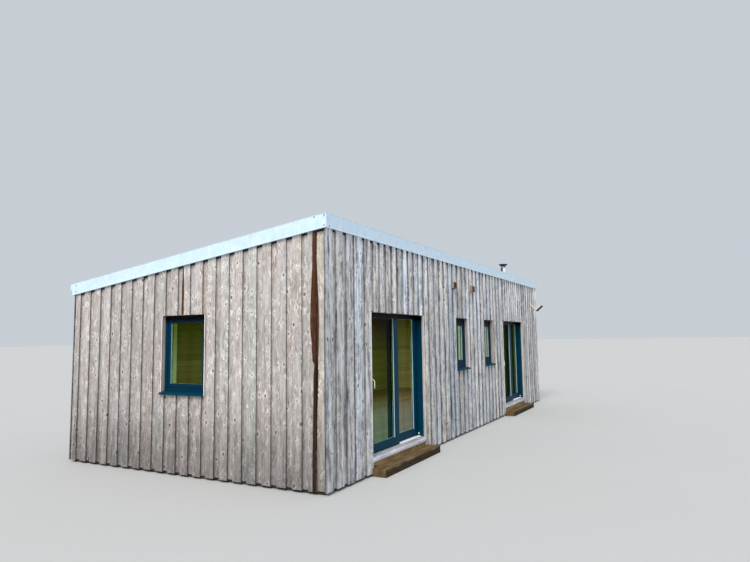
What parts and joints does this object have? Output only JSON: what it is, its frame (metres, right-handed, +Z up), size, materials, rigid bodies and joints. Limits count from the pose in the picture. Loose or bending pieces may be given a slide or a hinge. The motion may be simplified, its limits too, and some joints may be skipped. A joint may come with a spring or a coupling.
{
  "type": "timber clad cabin",
  "caption": "Long low cabin with upright board cladding, a mono-pitch roof, two glazed sliding doors, small windows and a flue.",
  "frame": {"origin": "centre of the footprint over the cladding boards, at ground level, on the underside of the base slab", "axes": "+Z up, -Y out of the front with the doors, +X along the front to the right"},
  "size_m": [11.926, 5.4706, 4.0517],
  "materials": {
    "slab": "rough",
    "floor_timber": "sawn",
    "floor_boards": "satin",
    "wall_lining": "matt",
    "cladding": "weathered",
    "roof_timber": "sawn",
    "roof_metal": "satin",
    "fascia": "satin",
    "blue_frame": "satin",
    "glass": "polished",
    "white_metal": "satin",
    "cill_timber": "weathered",
    "sleeper": "rough",
    "vent_brown": "matt",
    "flue_steel": "brushed",
    "cowl_steel": "dull",
    "lead": "matt",
    "light_metal": "satin"
  },
  "bodies": {
    "hut": {"base_slab": "slab", "floor_frame": "floor_timber", "floor_boards": "floor_boards", "front_wall_left": "wall_lining", "front_wall_middle": "wall_lining", "front_wall_right": "wall_lining", "front_wall_over_doors": "wall_lining", "back_wall": "wall_lining", "left_wall": "wall_lining", "right_wall": "wall_lining", "front_cladding_left": "cladding", "front_cladding_middle": "cladding", "front_cladding_right": "cladding", "front_cladding_at_doors": "cladding", "back_cladding": "cladding", "left_cladding": "cladding", "right_cladding": "cladding", "roof_deck": "roof_timber", "roof_sheet": "roof_metal", "front_fascia": "fascia", "back_fascia": "fascia", "left_fascia": "fascia", "right_fascia": "fascia", "left_door_frame": "blue_frame", "left_door_fixed_panel": "blue_frame", "right_door_frame": "blue_frame", "right_door_fixed_panel": "blue_frame", "door_fixed_glass": "glass", "door_thresholds": "white_metal", "door_cills": "cill_timber", "sleeper_steps": "sleeper", "window_frames": "blue_frame", "window_sashes": "blue_frame", "window_glass": "glass", "window_sills": "blue_frame", "wall_vents": "vent_brown", "flue_pipe": "flue_steel", "flue_cowl": "cowl_steel", "flue_flashing": "lead", "outdoor_light": "light_metal"},
    "left_leaf": {"left_door_leaf": "blue_frame", "left_door_leaf_glass": "glass", "left_door_handle": "white_metal"},
    "right_leaf": {"right_door_leaf": "blue_frame", "right_door_leaf_glass": "glass", "right_door_handle": "white_metal"}
  },
  "joints": [
    {"name": "left_door_slide", "type": "slide", "parent": "hut", "child": "left_leaf", "axis": [1, 0, 0], "range_m": [0, 0.813]},
    {"name": "right_door_slide", "type": "slide", "parent": "hut", "child": "right_leaf", "axis": [1, 0, 0], "range_m": [0, 0.813]}
  ]
}
